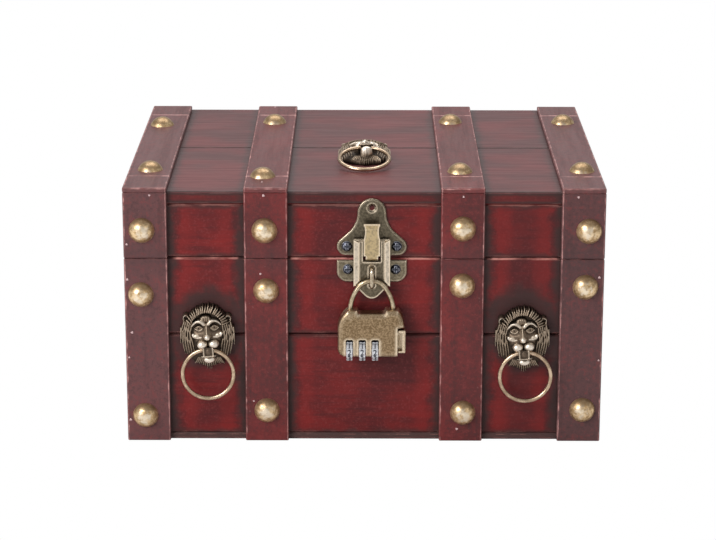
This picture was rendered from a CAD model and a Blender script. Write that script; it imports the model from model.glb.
import math

import bmesh
import bpy
import numpy as np
from mathutils import Euler, Matrix, Vector


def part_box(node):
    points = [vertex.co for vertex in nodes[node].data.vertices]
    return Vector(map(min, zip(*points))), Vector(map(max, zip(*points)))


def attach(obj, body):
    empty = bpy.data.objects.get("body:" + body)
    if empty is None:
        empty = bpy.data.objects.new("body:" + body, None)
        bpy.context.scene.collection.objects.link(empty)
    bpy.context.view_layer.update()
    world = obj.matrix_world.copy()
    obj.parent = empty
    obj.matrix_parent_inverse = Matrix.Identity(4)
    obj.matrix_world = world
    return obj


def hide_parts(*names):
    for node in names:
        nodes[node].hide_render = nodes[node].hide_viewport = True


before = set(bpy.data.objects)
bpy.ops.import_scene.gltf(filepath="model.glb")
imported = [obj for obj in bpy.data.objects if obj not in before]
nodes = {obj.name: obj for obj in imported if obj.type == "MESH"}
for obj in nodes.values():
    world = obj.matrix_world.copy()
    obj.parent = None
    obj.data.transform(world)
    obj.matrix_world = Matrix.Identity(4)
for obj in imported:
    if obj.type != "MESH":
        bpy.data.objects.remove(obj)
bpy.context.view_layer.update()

rng = np.random.default_rng(7)

MM = 0.001


def mm(*sizes):
    """Sizes in millimetres as metres."""
    return tuple(size * MM for size in sizes)


def lowest(node):
    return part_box(node)[0]


def highest(node):
    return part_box(node)[1]


def middle_of(node):
    return (lowest(node) + highest(node)) / 2


# Places on the chest in metres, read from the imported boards, straps and dials

FRONT, SIDE = lowest("front_lower_plank").y, highest("front_lower_plank").x
STRAP_FACE, STRAP_SIDE = lowest("box_front_straps").y, highest("box_front_straps").x
BOTTOM_FACE = highest("bottom_board").z
PLANK_JOINT = (highest("front_lower_plank").z + lowest("front_upper_plank").z) / 2
BOX_TOP = highest("front_upper_plank").z
RAIL_FOOT, RAIL_TOP = lowest("lid_front_rail").z, highest("lid_front_rail").z
LID_FACE, TOP_STRAP_FACE = highest("lid_top_front_plank").z, highest("lid_top_straps").z
TOP_JOINT = (highest("lid_top_front_plank").y + lowest("lid_top_back_plank").y) / 2

STRAP_WIDTH, INNER_STRAP_X = mm(20, 45)
STRAP_LINES = (INNER_STRAP_X - STRAP_WIDTH / 2, INNER_STRAP_X + STRAP_WIDTH / 2, STRAP_SIDE - STRAP_WIDTH)
SIDE_STRAP_LINE = -FRONT - STRAP_WIDTH

DIAL_RADIUS = 5 * MM
DIAL_X = {name: middle_of(name).x for name in ("left_dial", "middle_dial", "right_dial")}
DIAL_CENTRE = Vector((0, middle_of("dial_spindle").y, middle_of("dial_spindle").z))
SLOT_END = DIAL_CENTRE.z + DIAL_RADIUS

# Middle of each lion mask, from how far the mask reaches left of it and below it

MASK_LEFT, MASK_BELOW = mm(12.72, 17.411)


def front_seat(name):
    corner = lowest(f"{name}_lion_mask")
    return Vector((corner.x + MASK_LEFT, FRONT, corner.z + MASK_BELOW))


def lid_seat():
    corner = lowest("lid_lion_mask")
    return Vector((corner.x + MASK_LEFT, corner.y + MASK_BELOW, LID_FACE))


UPRIGHT, LYING = (0, 0, 0), (-math.pi / 2, 0, 0)
LIONS = {
    "left": ("box", front_seat("left"), UPRIGHT),
    "right": ("box", front_seat("right"), UPRIGHT),
    "lid": ("lid", lid_seat(), LYING),
}


class Paint:
    """A node material being mixed; its methods give back output sockets."""

    def __init__(self, name):
        self.material = bpy.data.materials.new(name)
        self.material.use_nodes = True
        self.tree = self.material.node_tree
        self.shader = self.tree.nodes["Principled BSDF"]
        coordinates = self.add("ShaderNodeTexCoord")
        self.place = coordinates.outputs["Object"]
        self.x, self.y, self.z = self.split(self.place)
        self.facing = dict(zip("xyz", self.split(coordinates.outputs["Normal"])))

    def split(self, vector):
        node = self.add("ShaderNodeSeparateXYZ")
        self.put(node.inputs[0], vector)
        return tuple(node.outputs)

    def add(self, kind, **settings):
        node = self.tree.nodes.new(kind)
        for name, value in settings.items():
            setattr(node, name, value)
        return node

    def put(self, socket, value):
        if isinstance(value, bpy.types.NodeSocket):
            self.tree.links.new(value, socket)
        elif isinstance(value, tuple) and len(value) == 3 and socket.type == "RGBA":
            socket.default_value = (*value, 1)
        else:
            socket.default_value = value

    def math(self, operation, first, second=0.0):
        node = self.add("ShaderNodeMath", operation=operation)
        self.put(node.inputs[0], first)
        self.put(node.inputs[1], second)
        return node.outputs[0]

    def plus(self, first, second):
        return self.math("ADD", first, second)

    def times(self, first, *others):
        for other in others:
            first = self.math("MULTIPLY", first, other)
        return first

    def absolute(self, value):
        return self.math("ABSOLUTE", value)

    def least(self, first, *others):
        for other in others:
            first = self.math("MINIMUM", first, other)
        return first

    def most(self, first, second):
        return self.math("MAXIMUM", first, second)

    def ramp(self, value, low, high, first=0.0, last=1.0):
        """Smooth step of a value from first at low to last at high."""
        node = self.add("ShaderNodeMapRange", interpolation_type="SMOOTHSTEP")
        for name, number in (("Value", value), ("From Min", low), ("From Max", high),
                             ("To Min", first), ("To Max", last)):
            self.put(node.inputs[name], number)
        return node.outputs[0]

    def noise(self, scale, detail=3.0, stretch=(1, 1, 1), offset=(0, 0, 0), roughness=0.55):
        mapping = self.add("ShaderNodeMapping")
        self.put(mapping.inputs["Vector"], self.place)
        self.put(mapping.inputs["Scale"], stretch)
        self.put(mapping.inputs["Location"], offset)
        node = self.add("ShaderNodeTexNoise")
        self.put(node.inputs["Vector"], mapping.outputs[0])
        self.put(node.inputs["Scale"], scale)
        self.put(node.inputs["Detail"], detail)
        self.put(node.inputs["Roughness"], roughness)
        return node.outputs["Fac"]

    def ragged(self, amount, noise):
        """A noise about 0, as wide as the amount."""
        return self.times(self.math("SUBTRACT", noise, 0.5), amount)

    def blend(self, factor, first, second):
        node = self.add("ShaderNodeMix", data_type="RGBA")
        self.put(node.inputs[0], factor)
        self.put(node.inputs[6], first)
        self.put(node.inputs[7], second)
        return node.outputs[2]

    def tint(self, color, other, value, low, high, first=0.0, last=1.0):
        """Another colour blended in by a smooth step of a value."""
        return self.blend(self.ramp(value, low, high, first, last), color, other)

    def edge(self, reach):
        """Nearness to an edge of the piece: 0 on flat faces, 1 at the edge."""
        rounded = self.add("ShaderNodeBevel", samples=6)
        self.put(rounded.inputs["Radius"], reach)
        flat = self.add("ShaderNodeNewGeometry").outputs["Normal"]
        dot = self.add("ShaderNodeVectorMath", operation="DOT_PRODUCT")
        self.put(dot.inputs[0], rounded.outputs[0])
        self.put(dot.inputs[1], flat)
        return self.ramp(dot.outputs["Value"], 0.93, 0.997, 1, 0)

    def near(self, value, *lines):
        """Distance from a value to the nearest of several lines."""
        return self.least(*(self.absolute(self.math("SUBTRACT", value, line)) for line in lines))

    def rim(self, axis, *lines):
        """Distance along an axis to the nearest line, and far off on faces that look along that axis."""
        gap = self.near(self.absolute(getattr(self, axis)), *lines)
        return self.plus(gap, self.ramp(self.absolute(self.facing[axis]), 0.4, 0.6))

    def bump(self, height, distance, strength):
        node = self.add("ShaderNodeBump")
        self.put(node.inputs["Height"], height)
        self.put(node.inputs["Distance"], distance)
        self.put(node.inputs["Strength"], strength)
        self.put(self.shader.inputs["Normal"], node.outputs[0])

    def finish(self, color, roughness, metallic=0.0, specular=0.5):
        self.put(self.shader.inputs["Base Color"], color)
        self.put(self.shader.inputs["Roughness"], roughness)
        self.put(self.shader.inputs["Metallic"], metallic)
        self.put(self.shader.inputs["Specular IOR Level"], specular)
        return self.material


# Wood: noise drawn out along the grain, then burnt and rubbed places by their distance

GRAIN = {"x": (0.07, 1, 1), "y": (1, 0.07, 1), "z": (1, 1, 0.07)}
BLOTCH = {"x": (0.6, 1, 1), "y": (1, 0.6, 1), "z": (1, 1, 0.6)}
HALVES = (0.36, 0.64)

STAIN_DARK, STAIN_RED = (0.078, 0.0080, 0.0090), (0.142, 0.0095, 0.0095)
BRIGHT_STREAK, DARK_STREAK = (0.25, 0.0130, 0.0115), (0.042, 0.0085, 0.0095)
STAIN_GRIT = (0.190, 0.036, 0.034)
SOOT = (0.036, 0.0180, 0.0170)
BARE_WOOD, BARE_TOP, BARE_ARRIS = (0.50, 0.20, 0.170), (0.36, 0.19, 0.17), (0.60, 0.26, 0.22)
BOTTOM_BROWN = (0.066, 0.038, 0.035)
TOP_DARK, TOP_RED, TOP_STREAK = (0.084, 0.0190, 0.0195), (0.136, 0.0220, 0.0225), (0.050, 0.020, 0.021)

# Pairs are the distances where a change of colour begins and ends; ragged ones are how uneven it is
STAIN_DEEPENS = mm(20, 85)
STRAP_GLOW, STRAP_GLOW_ENDS = mm(4.0, 7.2), mm(8.0, 15.0)
STRAP_BURN, JOINT_BURN = mm(0.6, 5.4), mm(0.2, 3.0)
STRAP_RAGGED, JOINT_RAGGED = mm(10, 4.5)
TOP_JOINT_BURN, TOP_STRAP_BURN = mm(0.3, 2.6), mm(0.8, 4.5)
TOP_JOINT_RAGGED, TOP_STRAP_RAGGED = mm(3, 6)
TOP_BEGINS, BOTTOM_FADE = mm(0.9, 0.2), 0.1 * MM
FOOT_BURN, FOOT_RAGGED, EDGE_BURN = mm(0.9, 2.4), 1.4 * MM, mm(1.0, 5.0)
ARRIS_RUB, ARRIS_RAGGED, ARRIS_STOPS = mm(0.2, 0.6), 0.6 * MM, mm(1.0, 3.0)
SKIN = mm(6, 3)
FLAKED_REACH = 0.7 * MM
PANEL_GRAIN_DEPTH, TOP_GRAIN_DEPTH, STRAP_GRAIN_DEPTH = mm(0.12, 0.10, 0.10)
HALO_X = (LIONS["right"][1].x - LIONS["left"][1].x) / 2
HALO_Z, HALO_HALF_WIDTH, HALO_HALF_HEIGHT = mm(54.5, 18.5, 19.0)
HALO_FADE, HALO_RAGGED = (0.82, 1.22), 0.7


def stained(paint, grain):
    """Crimson stain with blotches, streaks and pores along the grain; gives its colour and its height."""
    blotch = paint.noise(60, 5, BLOTCH[grain], (1, 2, 3), 0.62)
    band = paint.noise(170, 4, GRAIN[grain], (6, 1, 8), 0.6)
    streak = paint.noise(430, 5, GRAIN[grain], roughness=0.65)
    pore = paint.noise(1900, 2, GRAIN[grain], (3, 5, 7))
    grit = paint.noise(1000, 4, offset=(2, 8, 8))
    red = paint.blend(paint.ramp(blotch, *HALVES), STAIN_DARK, STAIN_RED)
    red = paint.tint(red, BRIGHT_STREAK, band, 0.54, 0.74, 0, 0.38)
    red = paint.tint(red, STAIN_GRIT, grit, 0.50, 0.70, 0, 0.40)
    red = paint.tint(red, DARK_STREAK, streak, 0.50, 0.70, 0, 0.50)
    red = paint.tint(red, DARK_STREAK, pore, 0.60, 0.80, 0, 0.40)
    return red, paint.plus(streak, paint.times(pore, 0.5))


def burn_noise(paint):
    return paint.noise(170, 5, offset=(9, 4, 2))


def flaked(paint, color, grain, cut, most, bare):
    """Stain flaked off the edges of a board."""
    flake = paint.ramp(paint.noise(230, 5, BLOTCH[grain], (4, 8, 1)), *cut)
    return paint.blend(paint.times(paint.edge(FLAKED_REACH), flake, most), color, bare)


def lion_halo(paint, noise):
    """Burnt patch round each lion mask, on the outer face of the front boards."""
    across = paint.times(paint.math("SUBTRACT", paint.absolute(paint.x), HALO_X), 1 / HALO_HALF_WIDTH)
    up = paint.times(paint.math("SUBTRACT", paint.z, HALO_Z), 1 / HALO_HALF_HEIGHT)
    away = paint.math("SQRT", paint.plus(paint.times(across, across), paint.times(up, up)))
    patch = paint.ramp(paint.plus(away, paint.ragged(HALO_RAGGED, noise)), *HALO_FADE, 0.86, 0)
    inner, outer = SKIN
    return paint.times(patch, paint.ramp(paint.y, FRONT + outer, FRONT + inner, 1, 0))


def inside(paint, across):
    """0 on the outer faces of the boards that run across, and far off on their inner faces."""
    through, face = (paint.y, -FRONT) if across == "x" else (paint.x, SIDE)
    inner, outer = SKIN
    return paint.ramp(paint.absolute(through), face - inner, face - outer, 1, 0)


def panel_wood(name, across, strap_lines, levels, arris=None, lions=False):
    """Stained board, burnt beside straps and joints; arris is the level of a rubbed edge and its strength."""
    paint = Paint(name)
    red, height = stained(paint, across)
    red = paint.tint(red, DARK_STREAK, paint.x, *STAIN_DEEPENS, 0, 0.42)
    noise = burn_noise(paint)
    by_strap = paint.near(paint.absolute(getattr(paint, across)), *strap_lines)
    by_strap = paint.plus(paint.plus(by_strap, paint.ragged(STRAP_RAGGED, noise)), inside(paint, across))
    by_joint = paint.plus(paint.near(paint.z, *levels), paint.ragged(JOINT_RAGGED, noise))
    glow = paint.times(paint.ramp(by_strap, *STRAP_GLOW), paint.ramp(by_strap, *STRAP_GLOW_ENDS, 1, 0))
    color = paint.blend(paint.times(glow, 0.32), red, BRIGHT_STREAK)
    dark = paint.most(paint.ramp(by_strap, *STRAP_BURN, 0.90, 0), paint.ramp(by_joint, *JOINT_BURN, 0.70, 0))
    if lions:
        dark = paint.most(dark, lion_halo(paint, noise))
    color = paint.blend(dark, color, SOOT)
    if lions:
        bottom = (BOTTOM_FACE - BOTTOM_FADE, BOTTOM_FACE + BOTTOM_FADE)
        color = paint.tint(color, BOTTOM_BROWN, paint.z, *bottom, 0.85, 0)
    color = flaked(paint, color, across, (0.46, 0.60), 0.5, BARE_WOOD)
    if arris:
        level, strength = arris
        gap = paint.plus(paint.near(paint.z, level), paint.ragged(ARRIS_RAGGED, noise))
        rubbed = paint.times(paint.ramp(gap, *ARRIS_RUB, 1, 0), paint.ramp(by_strap, *ARRIS_STOPS))
        patches = paint.noise(120, 5, BLOTCH[across], (2, 2, 5))
        broken = paint.ramp(patches, 0.42, 0.58, strength / 6, strength)
        color = paint.blend(paint.times(rubbed, broken), color, BARE_ARRIS)
    paint.bump(height, PANEL_GRAIN_DEPTH, 0.7)
    return paint.finish(color, paint.ramp(height, 0.5, 1.0, 0.38, 0.55), specular=0.24)


def lid_top_wood():
    """Top planks: dulled mauve above, stained like the panels on their front edge with a sooty foot."""
    paint = Paint("crimson_lid_top")
    red, height = stained(paint, "x")
    noise = burn_noise(paint)
    upper = paint.ramp(paint.z, *(LID_FACE - depth for depth in TOP_BEGINS))
    cloud = paint.noise(40, 4, BLOTCH["x"], (5, 3, 1))
    dull = paint.blend(paint.ramp(cloud, *HALVES), TOP_DARK, TOP_RED)
    dull = paint.tint(dull, TOP_STREAK, height, 0.70, 1.0, 0, 0.35)
    by_joint = paint.plus(paint.near(paint.y, FRONT, TOP_JOINT), paint.ragged(TOP_JOINT_RAGGED, noise))
    dull = paint.tint(dull, SOOT, by_joint, *TOP_JOINT_BURN, 0.75, 0)
    by_strap = paint.near(paint.absolute(paint.x), *STRAP_LINES)
    by_strap = paint.plus(by_strap, paint.ragged(TOP_STRAP_RAGGED, noise))
    dull = paint.tint(dull, SOOT, by_strap, *TOP_STRAP_BURN, 0.6, 0)
    foot = paint.plus(paint.rim("z", RAIL_TOP, LID_FACE), paint.ragged(FOOT_RAGGED, noise))
    front = paint.tint(red, SOOT, foot, *FOOT_BURN, 0.9, 0.25)
    outside = paint.ramp(paint.facing["z"], -0.6, -0.4)
    front = paint.blend(paint.times(outside, paint.ramp(by_strap, *EDGE_BURN, 0.7, 0)), front, SOOT)
    color = flaked(paint, paint.blend(upper, front, dull), "x", (0.48, 0.62), 0.35, BARE_TOP)
    paint.bump(height, TOP_GRAIN_DEPTH, 0.6)
    specular = paint.ramp(upper, 0, 1, 0.24, 0.5)
    return paint.finish(color, paint.ramp(height, 0.5, 1.0, 0.40, 0.52), specular=specular)


STRAP_DARK, STRAP_RED = (0.092, 0.0175, 0.0180), (0.156, 0.0205, 0.0205)
STRAP_GREY, STRAP_TOP, STRAP_DEEP = (0.112, 0.051, 0.052), (0.124, 0.037, 0.036), (0.040, 0.024, 0.024)
STRAP_STREAK, STRAP_MOTTLE, STRAP_GLINT = (0.040, 0.018, 0.018), (0.042, 0.020, 0.021), (0.200, 0.034, 0.034)
STRAP_SEAM, STRAP_RUB, STRAP_SCUFF = (0.050, 0.028, 0.029), (0.62, 0.32, 0.295), (0.30, 0.14, 0.14)
CORNER_GREYS, CORNER_DEEPENS = mm(75, 92), mm(50, 95)
SEAM_FADE, RIM_RUB, RIM_RAGGED = mm(0, 12), mm(0.2, 0.9), 1.4 * MM


def strap_wood(name, grain, upper=False):
    """Purple-brown strap: duller than the boards, greyer at the corners, rubbed pink along its edges."""
    paint = Paint(name)
    streak = paint.noise(300, 5, GRAIN[grain], roughness=0.65)
    cloud = paint.noise(38, 5, BLOTCH[grain], (5, 1, 2), 0.62)
    mottle = paint.noise(620, 4, offset=(8, 2, 4), roughness=0.65)
    color = paint.blend(paint.ramp(cloud, *HALVES), STRAP_DARK, STRAP_RED)
    color = paint.tint(color, STRAP_GREY, paint.absolute(paint.x), *CORNER_GREYS, 0, 0.75)
    if upper:
        color = paint.blend(0.45, color, STRAP_TOP)
    else:
        color = paint.tint(color, STRAP_DEEP, paint.x, *CORNER_DEEPENS, 0, 0.32)
    color = paint.tint(color, STRAP_STREAK, streak, 0.48, 0.74, 0, 0.38)
    color = paint.tint(color, STRAP_MOTTLE, mottle, 0.50, 0.68, 0, 0.45)
    color = paint.tint(color, STRAP_GLINT, mottle, 0.34, 0.48, 0.35, 0)
    color = paint.tint(color, STRAP_SEAM, paint.near(paint.z, BOX_TOP, RAIL_FOOT), *SEAM_FADE, 0.35, 0)
    rim = paint.least(paint.rim("x", *STRAP_LINES, STRAP_SIDE), paint.rim("y", SIDE_STRAP_LINE, -STRAP_FACE),
                      paint.rim("z", TOP_STRAP_FACE))
    gap = paint.plus(rim, paint.ragged(RIM_RAGGED, paint.noise(240, 5, offset=(2, 9, 6))))
    broken = paint.ramp(paint.noise(150, 5, offset=(1, 6, 3)), 0.40, 0.58, 0.25, 1)
    color = paint.blend(paint.times(paint.ramp(gap, *RIM_RUB, 0.95, 0), broken), color, STRAP_RUB)
    color = paint.tint(color, STRAP_SCUFF, paint.noise(520, 4, offset=(7, 7, 7)), 0.68, 0.76, 0, 0.4)
    paint.bump(paint.plus(streak, mottle), STRAP_GRAIN_DEPTH, 0.6)
    return paint.finish(color, paint.ramp(streak, 0.3, 0.8, 0.40, 0.55), specular=0.42 if upper else 0.28)


# Metal: mottled patina, rubbed bright on edges and on what stands proud

HASP_RIM, PADLOCK_RIM = (0.92, 0.77, 0.58), (0.92, 0.77, 0.57)
TONGUE_GOLD, FLANGE_PALE = (0.60, 0.46, 0.26), (0.70, 0.60, 0.48)
STUD_PALE, STUD_BROWN = (0.90, 0.79, 0.63), (0.27, 0.175, 0.095)
KEEPER_DARK, SLOT_DARK = (0.020, 0.016, 0.012), (0.012, 0.010, 0.009)
LION_DARK, LION_BROWN, LION_BRONZE, LION_PALE = (
    (0.040, 0.030, 0.023), (0.17, 0.125, 0.090), (0.42, 0.335, 0.25), (0.82, 0.73, 0.62))

# The tongue of the hook and the flanges of the hasp strap stand proud of these levels
TONGUE_LEVEL = lowest("hasp_hook_plate").y + 3 * MM
FLANGE_LEVEL = lowest("hasp_strap").y + 1 * MM
PROUD_FADE = 0.2 * MM
KEEPER_BACK, KEEPER_BEGINS = highest("hasp_staple").y, mm(0.9, 0.3)
CASE_FACE, SLOT_DEPTH = lowest("padlock_case").y, mm(1.8, 2.3)
SLOT_HALF_WIDTH, SLOT_HALF_HEIGHT = mm(1.35, 1.50), mm(0.6, 0.8)
PLATE_RIM_REACH, CASE_RIM_REACH = mm(1.4, 2.6)


def metal(name, bright, dull, grain, rough, patch=(0.38, 0.64), speckle=0.35, relief=0.03 * MM, edge=None):
    """Antiqued metal with a fine mottled patina; edge is the reach and colour of its rubbed edges.

    Gives the paint, its colour and its roughness, so that a finish can go on from there.
    """
    paint = Paint(name)
    mottle = paint.noise(grain, 6, roughness=0.7)
    fine = paint.noise(grain * 5, 3, offset=(3, 1, 4))
    color = paint.blend(paint.ramp(mottle, *patch), dull, bright)
    color = paint.tint(color, dull, fine, 0.52, 0.75, 0, speckle)
    if edge:
        reach, rubbed = edge
        color = paint.blend(paint.times(paint.edge(reach), 0.9), color, rubbed)
    paint.bump(paint.plus(mottle, paint.times(fine, 0.5)), relief, 0.6)
    return paint, color, paint.ramp(mottle, 0.35, 0.65, rough[1], rough[0])


def plain_metal(name, **settings):
    paint, color, rough = metal(name, **settings)
    return paint.finish(color, rough, metallic=1.0)


def hasp_metal(name, bright, dull, proud=None):
    """Dull bronze with bright rims; proud is the level and the colour of a form that stands out of it."""
    paint, color, rough = metal(name, bright, dull, grain=900, rough=(0.34, 0.46))
    if proud:
        level, gold = proud
        tarnish = paint.noise(900, 5, offset=(4, 2, 7), roughness=0.65)
        gold = paint.tint(gold, bright, tarnish, 0.42, 0.66, 0, 0.6)
        color = paint.tint(color, gold, paint.y, level - PROUD_FADE, level + PROUD_FADE, 0.9, 0)
    color = paint.blend(paint.times(paint.edge(PLATE_RIM_REACH), 0.95), color, HASP_RIM)
    return paint.finish(color, rough, metallic=1.0)


def staple_metal():
    """Bright wire, with the keeper behind the strap left dark."""
    paint, color, rough = metal("staple_brass", bright=(0.70, 0.60, 0.46), dull=(0.36, 0.29, 0.20), grain=500,
                                rough=(0.24, 0.34))
    color = paint.tint(color, KEEPER_DARK, paint.y, *(KEEPER_BACK - depth for depth in KEEPER_BEGINS))
    return paint.finish(color, rough, metallic=1.0)


def padlock_metal():
    """Mottled brass with bright rounded edges, and the dark end of each dial's slot above it."""
    paint, color, rough = metal("padlock_brass", bright=(0.40, 0.285, 0.168), dull=(0.180, 0.116, 0.060),
                                grain=1300, rough=(0.36, 0.46), speckle=0.5,
                                edge=(CASE_RIM_REACH, PADLOCK_RIM))
    beside = paint.ramp(paint.near(paint.x, *DIAL_X.values()), *SLOT_HALF_WIDTH, 1, 0)
    above = paint.ramp(paint.near(paint.z, SLOT_END), *SLOT_HALF_HEIGHT, 1, 0)
    before = paint.ramp(paint.y, *(CASE_FACE + depth for depth in SLOT_DEPTH), 1, 0)
    color = paint.blend(paint.times(beside, above, before), color, SLOT_DARK)
    return paint.finish(color, rough, metallic=1.0)


def stud_metal():
    """Antiqued brass nail: brown on its upper side, pale and rubbed at the middle."""
    paint, color, rough = metal("stud_brass", bright=(0.78, 0.570, 0.330), dull=(0.42, 0.270, 0.130),
                                grain=520, rough=(0.30, 0.44), patch=(0.40, 0.60), speckle=0.3)
    ragged = paint.ragged(0.9, paint.noise(420, 4, offset=(6, 6, 1)))
    outward = paint.plus(paint.absolute(paint.facing["y"]), ragged)
    color = paint.tint(color, STUD_PALE, outward, 0.80, 1.05, 0, 0.75)
    upward = paint.plus(paint.facing["z"], ragged)
    color = paint.tint(color, STUD_BROWN, upward, 0.34, 0.66, 0, 0.75)
    return paint.finish(color, rough, metallic=0.82)


def lion_bronze():
    """Dark bronze, rubbed bright where the relief stands proud."""
    paint = Paint("lion_bronze")
    shade = paint.add("ShaderNodeAttribute", attribute_name="polish").outputs["Fac"]
    grime = paint.noise(1500, 4)
    proud = paint.plus(shade, paint.ragged(0.25, grime))
    color = paint.blend(paint.ramp(proud, 0.08, 0.40), LION_DARK, LION_BROWN)
    color = paint.tint(color, LION_BRONZE, proud, 0.38, 0.66)
    color = paint.tint(color, LION_PALE, proud, 0.62, 0.95)
    paint.bump(grime, 0.04 * MM, 0.5)
    return paint.finish(color, paint.ramp(proud, 0.2, 0.9, 0.54, 0.44), metallic=1.0)


def ink(name, color, fleck):
    """Matt paint with flecks of a second colour."""
    paint = Paint(name)
    flecks = paint.noise(6000, 2)
    shade = paint.tint(color, fleck, flecks, 0.45, 0.70, 0, 0.5)
    return paint.finish(shade, paint.ramp(flecks, 0.3, 0.7, 0.45, 0.6))


BOX_LEVELS, LID_LEVELS = (BOTTOM_FACE, PLANK_JOINT), (RAIL_FOOT, RAIL_TOP)
BOX_ARRIS, RAIL_ARRIS = (BOX_TOP - 0.3 * MM, 0.85), (RAIL_TOP - 0.1 * MM, 0.30)
SIDE_LINES = (SIDE_STRAP_LINE,)
materials = {
    "box_front": panel_wood("crimson_box_front", "x", STRAP_LINES, BOX_LEVELS, BOX_ARRIS, lions=True),
    "lid_front": panel_wood("crimson_lid_front", "x", STRAP_LINES, LID_LEVELS, RAIL_ARRIS),
    "box_side": panel_wood("crimson_box_side", "y", SIDE_LINES, BOX_LEVELS),
    "lid_side": panel_wood("crimson_lid_side", "y", SIDE_LINES, LID_LEVELS),
    "lid_top": lid_top_wood(),
    "upright_strap": strap_wood("upright_strap", "z"),
    "top_strap": strap_wood("top_strap", "y", upper=True),
    "stud": stud_metal(),
    "hook_plate": hasp_metal("hook_plate_bronze", bright=(0.175, 0.145, 0.100), dull=(0.085, 0.070, 0.048),
                             proud=(TONGUE_LEVEL, TONGUE_GOLD)),
    "base_plate": hasp_metal("base_plate_bronze", bright=(0.27, 0.225, 0.155), dull=(0.130, 0.106, 0.070)),
    "hasp_strap": hasp_metal("hasp_strap_bronze", bright=(0.190, 0.156, 0.108), dull=(0.096, 0.077, 0.052),
                             proud=(FLANGE_LEVEL, FLANGE_PALE)),
    "staple": staple_metal(),
    "padlock": padlock_metal(),
    "shackle": plain_metal("shackle_brass", bright=(0.60, 0.495, 0.350), dull=(0.34, 0.265, 0.170), grain=700,
                           rough=(0.26, 0.36)),
    "ring": plain_metal("ring_bronze", bright=(0.66, 0.500, 0.355), dull=(0.42, 0.305, 0.205), grain=260,
                        rough=(0.24, 0.34), speckle=0.12, relief=0.01 * MM),
    "hinge": plain_metal("hinge_brass", bright=(0.52, 0.41, 0.22), dull=(0.24, 0.18, 0.09), grain=700,
                         rough=(0.30, 0.45), edge=(0.6 * MM, (0.72, 0.58, 0.34))),
    "screw": plain_metal("screw_steel", bright=(0.085, 0.090, 0.115), dull=(0.022, 0.024, 0.034), grain=1500,
                         rough=(0.30, 0.45), edge=(0.4 * MM, (0.46, 0.47, 0.53))),
    "dial": plain_metal("dial_metal", bright=(0.80, 0.81, 0.84), dull=(0.60, 0.61, 0.64), grain=1500,
                        rough=(0.32, 0.42), edge=(0.3 * MM, (0.92, 0.92, 0.94))),
    "pin": plain_metal("pin_steel", bright=(0.55, 0.52, 0.47), dull=(0.30, 0.28, 0.25), grain=900,
                       rough=(0.28, 0.40)),
    "lion": lion_bronze(),
    "number": ink("dial_number_ink", (0.010, 0.011, 0.022), (0.050, 0.052, 0.080)),
    "putty": ink("brad_putty", (0.52, 0.34, 0.34), (0.80, 0.66, 0.64)),
}

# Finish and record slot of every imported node, found by the words in its name
FINISHES = [
    (("_front_straps", "_back_straps", "_side_straps"), "upright_strap", "strap_wood"),
    (("lid_top_straps",), "top_strap", "strap_wood"),
    (("_studs",), "stud", "stud_brass"),
    (("_screws", "_mask_screw"), "screw", "screw_steel"),
    (("_leaf",), "hinge", "hinge_brass"),
    (("hinge_pins", "shackle_pin", "dial_spindle"), "pin", "pin_steel"),
    (("_dial",), "dial", "dial_metal"),
    (("padlock_case", "release_slide"), "padlock", "padlock_brass"),
    (("padlock_shackle",), "shackle", "padlock_brass"),
    (("_ring",), "ring", "lion_bronze"),
    (("hasp_staple",), "staple", "hasp_bronze"),
    (("hasp_hook_plate",), "hook_plate", "hasp_bronze"),
    (("hasp_base_plate",), "base_plate", "hasp_bronze"),
    (("hasp_strap",), "hasp_strap", "hasp_bronze"),
    (("_lion_mask",), "lion", "lion_bronze"),
    (("lid_top_",), "lid_top", "crimson_wood"),
    (("lid_front_rail", "lid_back_rail"), "lid_front", "crimson_wood"),
    (("lid_left_rail", "lid_right_rail"), "lid_side", "crimson_wood"),
    (("left_lower", "left_upper", "right_lower", "right_upper"), "box_side", "crimson_wood"),
    (("_plank", "bottom_board"), "box_front", "crimson_wood"),
]


def finish_of(name):
    return next((finish, slot) for words, finish, slot in FINISHES if any(word in name for word in words))


def dress(piece, finish, slot):
    piece.data.materials.clear()
    piece.data.materials.append(materials[finish])


for name, piece in nodes.items():
    dress(piece, *finish_of(name))


def new_piece(name, mesh, finish, slot, body, matrix=None):
    piece = bpy.data.objects.new(name, mesh)
    bpy.context.scene.collection.objects.link(piece)
    if matrix is not None:
        piece.matrix_world = matrix
    dress(piece, finish, slot)
    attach(piece, body)
    return piece


# Lion mask: a relief over x across and z up, heights out from the board, in millimetres.
# The face is cast a little askew in the mane, so it has a grid of its own.

STEP = 0.15
HALF_WIDTH, LOWEST, HIGHEST = 14.1, -17.4, 18.3
ASKEW, ASKEW_ABOUT = math.radians(4.5), 3.0
NOTHING = -9.0
across, upward = np.meshgrid(np.arange(-HALF_WIDTH, HALF_WIDTH + 0.01, STEP),
                             np.arange(LOWEST, HIGHEST + 0.01, STEP))
MANE = (across, upward)
FACE = (math.cos(ASKEW) * across + math.sin(ASKEW) * (upward - ASKEW_ABOUT),
        math.cos(ASKEW) * (upward - ASKEW_ABOUT) - math.sin(ASKEW) * across + ASKEW_ABOUT)


def mirrored(grid):
    return (-grid[0], grid[1])


def dome(grid, centre, half):
    """Rounded mass: centre across, out and up, half sizes the same way."""
    rest = 1 - ((grid[0] - centre[0]) / half[0]) ** 2 - ((grid[1] - centre[2]) / half[2]) ** 2
    return np.where(rest > 0, centre[1] + half[1] * np.sqrt(np.maximum(rest, 0)), NOTHING)


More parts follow.
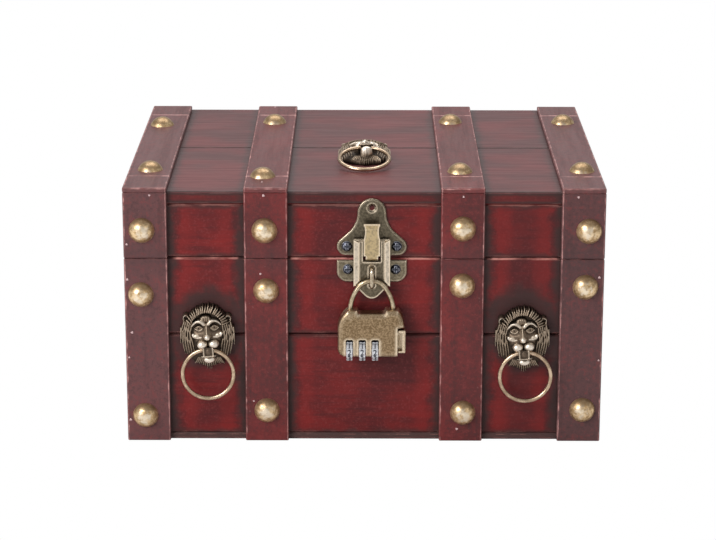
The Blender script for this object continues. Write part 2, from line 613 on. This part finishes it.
def strand(grid, path, width, level, taper, rise=1.0):
    """Half-round lock along a curved line through three points, its width easing off to the tip."""
    start, middle, end = (np.array(point, float) for point in path)
    bend = 2 * middle - (start + end) / 2
    field = np.full_like(grid[0], NOTHING)
    for t in np.linspace(0, 1, 34):
        x, z = (1 - t) ** 2 * start + 2 * t * (1 - t) * bend + t ** 2 * end
        half = width * (1 - taper * t ** 2)
        rest = 1 - ((grid[0] - x) ** 2 + (grid[1] - z) ** 2) / half ** 2
        crown = level[0] + (level[1] - level[0]) * t + rise * half * np.sqrt(np.maximum(rest, 0))
        field = np.maximum(field, np.where(rest > 0, crown, NOTHING))
    return field


def soften(field, rounds):
    for _ in range(rounds):
        padded = np.pad(field, 1, mode="edge")
        field = (padded[:-2, 1:-1] + padded[2:, 1:-1] + padded[1:-1, :-2] + padded[1:-1, 2:] + 4 * field) / 8
    return field


class Relief:
    """Heights over the grid, with how far each part is rubbed bright."""

    def __init__(self):
        self.height = np.full_like(across, NOTHING)
        self.polish = np.zeros_like(across)

    def raise_to(self, field, polish):
        self.polish = np.where(field > self.height, polish, self.polish)
        self.height = np.maximum(self.height, field)

    def pair(self, shape, grid, *arguments, polish, **settings):
        """The same shape on the right and on the left."""
        for side in (grid, mirrored(grid)):
            self.raise_to(shape(side, *arguments, **settings), polish)

    def lock(self, grid, path, levels, widths, tapers, rises, polishes):
        """A strand and the brighter hair along it."""
        for level, width, taper, rise, polish in zip(levels, widths, tapers, rises, polishes):
            self.raise_to(strand(grid, path, width, level, taper, rise), polish)

    def sink(self, grid, centre, half, depth, polish):
        """Soft hollow, darkened as it deepens."""
        away = np.hypot((grid[0] - centre[0]) / half[0], (grid[1] - centre[1]) / half[1])
        hollow = np.exp(-away ** 4)
        self.height = self.height - depth * hollow
        self.polish = self.polish + (polish - self.polish) * hollow

    def sink_pair(self, grid, centre, half, depth, polish):
        for side in (-1, 1):
            self.sink(grid, (side * centre[0], centre[1]), half, depth, polish)


# A mass is its centre and its half sizes, each across, out and up; a path is three points, across and up.
# A lock has two values of each kind: one for its strand and one for the hair along it.

MANE_MASS, BEARD_MASS = ((0, 1.7, 0.8), (12.1, 2.4, 14.7)), ((0.8, 1.3, -10.2), (7.0, 1.6, 3.6))
LOCKS = 5
TIERS = ((8.8, 1.8), (4.8, -2.6), (0.8, -8.2))
MANE_LEVELS = (-9.0, -6.0, -2.0, 1.0, 5.0, 9.0)
MANE_INNER = (5.4, 6.2, 7.0, 7.5, 7.5, 7.0)
MANE_OUTER = (10.0, 11.3, 12.2, 12.5, 12.1, 10.8)
MANE_LOCK = {"widths": (0.48, 0.25), "tapers": (0.5, 0.4), "rises": (1.4, 1.2), "polishes": (0.36, 0.66)}
CREST_LOCK = {"widths": (0.54, 0.24), "tapers": (0.5, 0.4), "rises": (1.3, 1.1), "polishes": (0.34, 0.62)}
BEARD_LOCK = {"widths": (0.44, 0.19), "tapers": (0.5, 0.3), "rises": (1.3, 1.1), "polishes": (0.38, 0.66)}
HAIR_OVER_LOCK = 0.42
CREST_LEVELS, BEARD_LEVELS = ((5.8, 4.9), (6.3, 5.3)), ((3.2, 2.3), (3.65, 2.7))
CREST_STRANDS = 21
CREST_FROM, CREST_TURN, CREST_LEAN = math.radians(24), math.radians(132), 0.055
CREST_MIDDLE = 3.4
CREST_ROOT, CREST_TIP, CREST_HEIGHTS = (8.2, 9.7), 10.6, (12.1, 12.9)
BEARD_STRANDS = range(-7, 8)
EAR_CENTRE, EAR_HALF = (9.6, 9.5), (1.5, 1.75)


def mane_at(level, share):
    """How far out a lock is at a level of the mane: from its inner side at 0 to its outer side at 1."""
    inner, outer = (np.interp(level, MANE_LEVELS, side) for side in (MANE_INNER, MANE_OUTER))
    return inner + (outer - inner) * share


def add_mane(relief):
    """Tiers of locks that fall beside the face, and a crest of short strands over it."""
    relief.raise_to(dome(MANE, *MANE_MASS), 0.18)
    for side in (MANE, mirrored(MANE)):
        for tier, (start, end) in enumerate(TIERS):
            for lock in range(LOCKS):
                share = (lock + 0.5 * (tier % 2)) / (LOCKS - 0.5)
                first, last = start + rng.uniform(-2.2, 0.8 + tier), end - rng.uniform(-1.2, 1.0)
                middle = (first + last) / 2
                path = ((mane_at(first, share), first), (mane_at(middle, share) - 0.15, middle),
                        (mane_at(last, share) + 0.45, last))
                level = (5.2 - 1.8 * share - 0.5 * tier, 4.3 - 1.7 * share - 0.5 * tier)
                hair = tuple(height + HAIR_OVER_LOCK for height in level)
                relief.lock(side, path, (level, hair), **MANE_LOCK)
    for index in range(CREST_STRANDS):
        turn = CREST_FROM + CREST_TURN * index / (CREST_STRANDS - 1) + rng.uniform(-0.02, 0.02)
        lean = turn - CREST_LEAN
        root = (CREST_ROOT[0] * math.cos(turn), CREST_MIDDLE + CREST_ROOT[1] * math.sin(turn))
        tip = (CREST_TIP * math.cos(lean), CREST_MIDDLE + rng.uniform(*CREST_HEIGHTS) * math.sin(lean))
        middle = ((root[0] + tip[0]) / 2 + 0.12, (root[1] + tip[1]) / 2 + 0.15)
        relief.lock(MANE, (root, middle, tip), CREST_LEVELS, **CREST_LOCK)


def add_beard(relief):
    """Fan of strands below the chin, longest at the middle."""
    relief.raise_to(dome(MANE, *BEARD_MASS), 0.18)
    for index in BEARD_STRANDS:
        drop = -12.2 - 3.2 * math.exp(-(index / 2.4) ** 2) - 0.5 * (index % 2)
        path = ((0.8 + 0.72 * index, -9.4), (0.85 + 0.86 * index, -11.4), (0.9 + 0.98 * index, drop))
        relief.lock(MANE, path, BEARD_LEVELS, **BEARD_LOCK)


def add_ears(relief):
    """Round ears with a raised rim, brightest up and outwards."""
    for side in (MANE, mirrored(MANE)):
        out, up = ((side[axis] - EAR_CENTRE[axis]) / EAR_HALF[axis] for axis in (0, 1))
        away = np.hypot(out, up)
        rim = np.exp(-((away - 0.85) / 0.22) ** 2)
        field = np.where(away < 1.2, 3.2 + 1.8 * rim, NOTHING)
        relief.raise_to(field, 0.26 + 0.46 * rim * np.clip(0.45 + 0.5 * (out + up), 0.2, 1))


SKULL, JAW = ((0, 2.4, 2.0), (7.0, 3.7, 8.8)), ((0.5, 2.0, -8.4), (4.6, 2.6, 2.2))
FOREHEAD = ((-0.2, 4.9, 9.9), (2.6, 1.9, 1.7))
FURROWS, FURROW_UP, FURROW_HALF = (-0.95, 0.0, 0.95), 9.7, (0.28, 1.3)
SOCKET, SOCKET_HALF = (3.6, 5.3), (2.6, 1.9)
BROW = ((1.0, 7.3), (3.9, 8.75), (6.7, 6.6))
EYEBALL = ((3.65, 3.9, 5.15), (1.4, 1.5, 0.95))
UPPER_EYELID = ((2.0, 5.2), (3.6, 6.2), (5.4, 5.3))
LOWER_EYELID = ((2.0, 5.0), (3.6, 4.0), (5.5, 5.0))
PUPIL, PUPIL_HALF = (3.65, 5.25), (0.45, 0.45)
CHEEK = ((4.9, 3.7, 1.5), (2.4, 2.1, 1.5))
CHEEK_FOLD = ((2.9, 1.0), (5.0, 0.9), (6.5, 2.2))
BRIDGE_TOP, BRIDGE_LENGTH = 7.6, 6.2
NOSE = ((0, 7.0, 1.3), (1.5, 2.0, 1.6))
NOSTRIL, NOSTRIL_HALF = (0.75, 0.15), (0.34, 0.30)
MUZZLE = ((2.65, 6.6, -2.2), (2.45, 2.2, 2.0))
MUZZLE_CLEFT, MUZZLE_CLEFT_HALF = (0, -2.0), (0.34, 1.9)
CHIN = ((0, 6.4, -9.4), (2.8, 1.9, 1.9))
CHIN_CLEFT, CHIN_CLEFT_HALF = (0, -8.2), (0.9, 0.4)


def nose_ridge():
    """Bridge of the nose: a narrow roof that widens and rises to the tip."""
    share = np.clip((BRIDGE_TOP - FACE[1]) / BRIDGE_LENGTH, 0, 1)
    half = 0.55 + 0.95 * share
    field = 6.0 + 2.8 * share - 1.5 * np.abs(FACE[0]) / half
    along = (FACE[1] < BRIDGE_TOP + 0.2) & (FACE[1] > BRIDGE_TOP - BRIDGE_LENGTH - 0.2)
    return np.where((np.abs(FACE[0]) < 1.4 * half) & along, field, NOTHING)


def add_face(relief):
    """Skull, forehead, brows, sunken eyes, cheeks, nose, muzzle and chin."""
    relief.raise_to(dome(FACE, *SKULL), 0.36)
    relief.raise_to(dome(FACE, *JAW), 0.24)
    relief.raise_to(dome(FACE, *FOREHEAD), 0.58)
    for furrow in FURROWS:
        relief.sink(FACE, (furrow, FURROW_UP), FURROW_HALF, depth=0.45, polish=0.38)
    relief.sink_pair(FACE, SOCKET, SOCKET_HALF, depth=1.5, polish=0.10)
    relief.pair(strand, FACE, BROW, width=0.92, level=(5.8, 5.0), taper=0.35, rise=1.1, polish=0.80)
    relief.pair(dome, FACE, *EYEBALL, polish=0.50)
    relief.pair(strand, FACE, UPPER_EYELID, width=0.28, level=(4.9, 4.7), taper=0.2, polish=0.55)
    relief.pair(strand, FACE, LOWER_EYELID, width=0.30, level=(4.9, 4.7), taper=0.2, polish=0.70)
    relief.sink_pair(FACE, PUPIL, PUPIL_HALF, depth=0.5, polish=0.08)
    relief.pair(dome, FACE, *CHEEK, polish=0.82)
    relief.pair(strand, FACE, CHEEK_FOLD, width=0.60, level=(5.2, 4.5), taper=-0.6, rise=1.1, polish=0.94)
    relief.raise_to(nose_ridge(), 0.60)
    relief.raise_to(dome(FACE, *NOSE), 0.98)
    relief.pair(dome, FACE, *MUZZLE, polish=1.0)
    relief.sink(FACE, MUZZLE_CLEFT, MUZZLE_CLEFT_HALF, depth=0.9, polish=0.42)
    relief.sink_pair(FACE, NOSTRIL, NOSTRIL_HALF, depth=0.7, polish=0.12)
    relief.raise_to(dome(FACE, *CHIN), 1.0)
    relief.sink(FACE, CHIN_CLEFT, CHIN_CLEFT_HALF, depth=0.5, polish=0.55)


MOUTH, MOUTH_HALF, MOUTH_OUT = (0.2, -5.3), (5.6, 1.75), 3.2
RING_WAY_IN, RING_WAY_UP, RING_WAY_OUT = 4.2, (-13.0, -3.6), 4.8
TEETH_HALF, TEETH_UP, TEETH_OUT = 2.7, (-8.0, -3.1), 8.55
TONGUE = ((0, 8.4, -5.4), (1.1, 0.5, 1.5))
FANG = ((2.15, -3.4), (2.15, -5.3), (2.1, -7.3))
LOWER_LIP = ((-3.3, -7.2), (0, -7.5), (3.3, -7.2))
JAW_FLOOR = 8.0


def open_mouth(relief):
    """Hollow across the mouth for the ring, and room for it to swing over the mane."""
    away = np.hypot((FACE[0] - MOUTH[0]) / MOUTH_HALF[0], (FACE[1] - MOUTH[1]) / MOUTH_HALF[1])
    relief.polish = np.where(away < 1, 0.02, relief.polish)
    relief.height = np.where(away < 1, np.minimum(relief.height, MOUTH_OUT + away), relief.height)
    ring_way = (np.abs(across) > RING_WAY_IN) & (upward > RING_WAY_UP[0]) & (upward < RING_WAY_UP[1])
    relief.height = np.where(ring_way, np.minimum(relief.height, RING_WAY_OUT), relief.height)


def lion_relief():
    hair = Relief()
    add_mane(hair)
    add_beard(hair)
    add_ears(hair)
    face = Relief()
    add_face(face)
    face.height = np.where(face.height > 0, soften(face.height, 3), face.height)
    hair.raise_to(face.height, face.polish)
    open_mouth(hair)
    return hair


def jaw_relief():
    """Teeth and lower lip, which close the mouth in front of the ring."""
    jaw = Relief()
    panel = (np.abs(FACE[0]) < TEETH_HALF) & (FACE[1] > TEETH_UP[0]) & (FACE[1] < TEETH_UP[1])
    jaw.raise_to(np.where(panel, TEETH_OUT, NOTHING), 0.22)
    jaw.raise_to(dome(FACE, *TONGUE), 0.34)
    jaw.pair(strand, FACE, FANG, width=0.46, level=(8.6, 8.6), taper=0.1, polish=0.74)
    jaw.raise_to(strand(FACE, LOWER_LIP, width=0.34, level=(8.8, 8.8), taper=0.0), 0.74)
    return jaw


LEAST_STAND = 0.2
BACK_SHADE = 0.1


def add_sheet(points, shades, faces, relief, shade, floor):
    """Faces of a relief above its floor, with walls down to it and a face behind."""
    start = len(points)
    index = -np.ones(relief.shape, int)
    for row, column in zip(*np.nonzero(relief > floor)):
        index[row, column] = len(points)
        points.append((across[row, column], upward[row, column], relief[row, column]))
        shades.append(float(shade[row, column]))
    corners = (index[:-1, :-1], index[:-1, 1:], index[1:, 1:], index[1:, :-1])
    front = [face for face in zip(*(part.ravel().tolist() for part in corners)) if min(face) >= start]
    behind = {}
    for number in sorted({corner for face in front for corner in face}):
        behind[number] = len(points)
        points.append((points[number][0], points[number][1], floor))
        shades.append(BACK_SHADE)
    edges = set()
    for face in front:
        for edge in zip(face, face[1:] + face[:1]):
            if edge[::-1] in edges:
                edges.remove(edge[::-1])
            else:
                edges.add(edge)
    faces += front
    faces += [tuple(behind[corner] for corner in reversed(face)) for face in front]
    faces += [(b, a, behind[a], behind[b]) for a, b in sorted(edges)]


def worn_shade(relief, floor):
    """How bright each place is rubbed: its own polish, more on ridges and less in wide hollows."""
    ground = np.maximum(relief.height, floor)
    ridge = ground - soften(ground, 7)
    hollow = ground - soften(ground, 45)
    shade = soften(relief.polish, 2) * np.clip(0.92 + 0.55 * ridge, 0.35, 1.12)
    return np.clip(shade + 0.05 * np.clip(hollow, -2.0, 1.0), 0, 1)


def lion_mesh():
    """Mesh of the mask, with how bright each point is rubbed kept for the finish."""
    points, shades, faces = [], [], []
    for relief, floor in ((lion_relief(), 0.0), (jaw_relief(), JAW_FLOOR)):
        least = floor + LEAST_STAND
        height = np.where(relief.height > least, soften(relief.height, 1), NOTHING)
        height = np.where(height > least, height, NOTHING)
        add_sheet(points, shades, faces, height, worn_shade(relief, floor), floor)
    mesh = bpy.data.meshes.new("lion_mask")
    mesh.from_pydata([mm(x, -out, z) for x, z, out in points], [], faces)
    mesh.shade_smooth()
    mesh.attributes.new("polish", "FLOAT", "POINT").data.foreach_set("value", shades)
    return mesh


lion = lion_mesh()
for name, (body, seat, turn) in LIONS.items():
    matrix = Matrix.LocRotScale(seat, Euler(turn), None)
    mask = new_piece(f"{name}_lion_sculpt", lion.copy(), "lion", "lion_bronze", body, matrix)
    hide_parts(f"{name}_lion_mask")


# Dial numbers: figures wrapped round each dial

FIGURE_SIZE, FIGURE_STROKE, FIGURE_BAND, FIGURE_THICK, FIGURE_LIFT = mm(3.6, 0.07, 0.2, 0.05, 0.01)
FIGURES = 10
FIGURE_IN_FRONT = 2


def figure(text):
    """Flat outline of one figure, cut into narrow bands so that it can bend."""
    curve = bpy.data.curves.new("figure", "FONT")
    curve.body = text
    curve.size = FIGURE_SIZE
    curve.offset = FIGURE_STROKE
    curve.align_x = "CENTER"
    curve.align_y = "CENTER"
    curve.resolution_u = 3
    holder = bpy.data.objects.new("figure", curve)
    bpy.context.scene.collection.objects.link(holder)
    flat = bmesh.new()
    flat.from_mesh(holder.to_mesh())
    holder.to_mesh_clear()
    bpy.data.objects.remove(holder)
    for level in np.arange(-FIGURE_SIZE / 2, FIGURE_SIZE / 2, FIGURE_BAND):
        every = flat.verts[:] + flat.edges[:] + flat.faces[:]
        bmesh.ops.bisect_plane(flat, geom=every, plane_co=(0, level, 0), plane_no=(0, 1, 0))
    return flat


def dial_numbers(name, x):
    ring = bmesh.new()
    for number in range(FIGURES):
        flat = figure(str(number))
        bmesh.ops.solidify(flat, geom=flat.faces[:], thickness=FIGURE_THICK)
        middle = math.tau / FIGURES * (FIGURE_IN_FRONT - number)
        for vertex in flat.verts:
            turn = middle + vertex.co.y / DIAL_RADIUS
            out = DIAL_RADIUS + FIGURE_LIFT + vertex.co.z
            vertex.co = Vector((x + vertex.co.x, -out * math.cos(turn), out * math.sin(turn))) + DIAL_CENTRE
        part = bpy.data.meshes.new("part")
        flat.to_mesh(part)
        flat.free()
        ring.from_mesh(part)
        bpy.data.meshes.remove(part)
    mesh = bpy.data.meshes.new(f"{name}_numbers")
    ring.to_mesh(mesh)
    ring.free()
    new_piece(f"{name}_numbers", mesh, "number", "dial_metal", name)


for name, x in DIAL_X.items():
    dial_numbers(name, x)


# Brad heads: puttied nail heads at these places on the straps, across and up, or across and back on the top

BRAD_RADIUS = 0.55 * MM
BRAD_SIZES = (0.75, 1.15)
BRAD_HEIGHT, BRAD_SWELL, BRAD_LOBES, BRAD_TURN = 0.45, 0.18, 3, 900
FRONT_BRADS = {
    "lid": [(-0.0976, 0.1180), (-0.1084, 0.0949), (-0.0458, 0.1180), (0.0451, 0.1176), (0.0973, 0.1175)],
    "box": [(-0.0475, 0.0810), (-0.1085, 0.0782), (-0.1069, 0.0528), (-0.1085, 0.0407), (-0.1085, 0.0103),
            (-0.0511, 0.0195), (0.0433, 0.0060), (0.1078, 0.0796), (0.1085, 0.0397)],
}
TOP_BRADS = [(-0.0466, 0.0851), (-0.0469, -0.0770)]


def brad(shape, seat, facing):
    """Low dome with an uneven rim."""
    radius = BRAD_RADIUS * rng.uniform(*BRAD_SIZES)
    place = Matrix.Translation(seat) @ Vector((0, 0, 1)).rotation_difference(facing).to_matrix().to_4x4()
    made = bmesh.ops.create_uvsphere(shape, u_segments=14, v_segments=8, radius=radius)
    for vertex in made["verts"]:
        turn = BRAD_LOBES * math.atan2(vertex.co.y, vertex.co.x) + BRAD_TURN * seat.x
        swell = 1 + BRAD_SWELL * math.sin(turn)
        vertex.co = place @ Vector((vertex.co.x * swell, vertex.co.y * swell, vertex.co.z * BRAD_HEIGHT))


for body, seats in FRONT_BRADS.items():
    shape = bmesh.new()
    for x, z in seats:
        brad(shape, Vector((x, STRAP_FACE, z)), Vector((0, -1, 0)))
    if body == "lid":
        for x, y in TOP_BRADS:
            brad(shape, Vector((x, y, TOP_STRAP_FACE)), Vector((0, 0, 1)))
    mesh = bpy.data.meshes.new(f"{body}_brads")
    shape.to_mesh(mesh)
    shape.free()
    mesh.shade_smooth()
    new_piece(f"{body}_brads", mesh, "putty", "strap_wood", body)


# Stage: white floor and sky, soft light from both sides, from above and from behind

FLOOR_SIZE, FLOOR_DROP = 12, 0.2 * MM
FLOOR_DARK, FLOOR_PALE = (0.80, 0.80, 0.80), (0.84, 0.84, 0.84)
SKY_LIGHT, SKY_SEEN = 0.42, 1.0


def white_floor():
    """Floor that the camera sees as plain white and that lights the chest as a pale surface."""
    bpy.ops.mesh.primitive_plane_add(size=FLOOR_SIZE, location=(0, 0, -FLOOR_DROP))
    floor = bpy.context.object
    floor.name = "floor"
    paint = Paint("floor_white")
    paint.finish(paint.blend(paint.noise(40, 2), FLOOR_DARK, FLOOR_PALE), 0.8, specular=0.1)
    ray = paint.add("ShaderNodeLightPath")
    glow = paint.add("ShaderNodeEmission")
    mix = paint.add("ShaderNodeMixShader")
    paint.put(mix.inputs[0], ray.outputs["Is Camera Ray"])
    paint.put(mix.inputs[1], paint.shader.outputs[0])
    paint.put(mix.inputs[2], glow.outputs[0])
    paint.put(paint.tree.nodes["Material Output"].inputs["Surface"], mix.outputs[0])
    floor.data.materials.append(paint.material)


def white_sky():
    world = bpy.data.worlds.new("studio")
    world.use_nodes = True
    bpy.context.scene.world = world
    tree = world.node_tree
    sky = tree.nodes["Background"]
    ray = tree.nodes.new("ShaderNodeLightPath")
    level = tree.nodes.new("ShaderNodeMapRange")
    tree.links.new(ray.outputs["Is Camera Ray"], level.inputs["Value"])
    level.inputs["To Min"].default_value = SKY_LIGHT
    level.inputs["To Max"].default_value = SKY_SEEN
    tree.links.new(level.outputs[0], sky.inputs["Strength"])
    sky.inputs["Color"].default_value = (1, 1, 1, 1)


def soft_light(name, place, aim, size, energy):
    lamp = bpy.data.lights.new(name, "AREA")
    lamp.shape = "RECTANGLE"
    lamp.size, lamp.size_y = size
    lamp.energy = energy
    light = bpy.data.objects.new(name, lamp)
    light.location = place
    light.rotation_euler = (Vector(aim) - Vector(place)).to_track_quat("-Z", "Y").to_euler()
    bpy.context.scene.collection.objects.link(light)


white_floor()
white_sky()
FRONT_AIM, LID_AIM = (0, -0.05, 0.06), (0, 0, 0.1)
soft_light("key", place=(-1.00, -1.05, 0.90), aim=FRONT_AIM, size=(0.8, 0.8), energy=21)
soft_light("fill", place=(0.95, -1.15, 0.75), aim=FRONT_AIM, size=(0.8, 0.8), energy=1.5)
soft_light("overhead", place=(0, 0.35, 1.15), aim=LID_AIM, size=(1.2, 0.8), energy=8.5)
soft_light("back", place=(0, 1.9, 0.75), aim=LID_AIM, size=(2.0, 0.7), energy=1.5)

# Camera at the photograph's place: a long lens a little above the chest, focal length and shift in pixels
VIEW_TILT, VIEW_ROLL = math.radians(15.86), math.radians(-0.131)
VIEW_DISTANCE = 1.212
AIM = Vector((0, 0, 0.0607))
SENSOR = 36
PICTURE_WIDTH, FOCAL_PIXELS, SHIFT_PIXELS = 716, 2450, (-7.7, -5.7)
lens = bpy.data.cameras.new("camera")
lens.sensor_width = SENSOR
lens.lens = SENSOR * FOCAL_PIXELS / PICTURE_WIDTH
lens.shift_x, lens.shift_y = (pixels / PICTURE_WIDTH for pixels in SHIFT_PIXELS)
camera = bpy.data.objects.new("camera", lens)
camera.location = AIM + VIEW_DISTANCE * Vector((0, -math.cos(VIEW_TILT), math.sin(VIEW_TILT)))
camera.rotation_euler = (math.pi / 2 - VIEW_TILT, VIEW_ROLL, 0)
bpy.context.scene.collection.objects.link(camera)
bpy.context.scene.camera = camera
bpy.context.scene.view_settings.view_transform = "Standard"
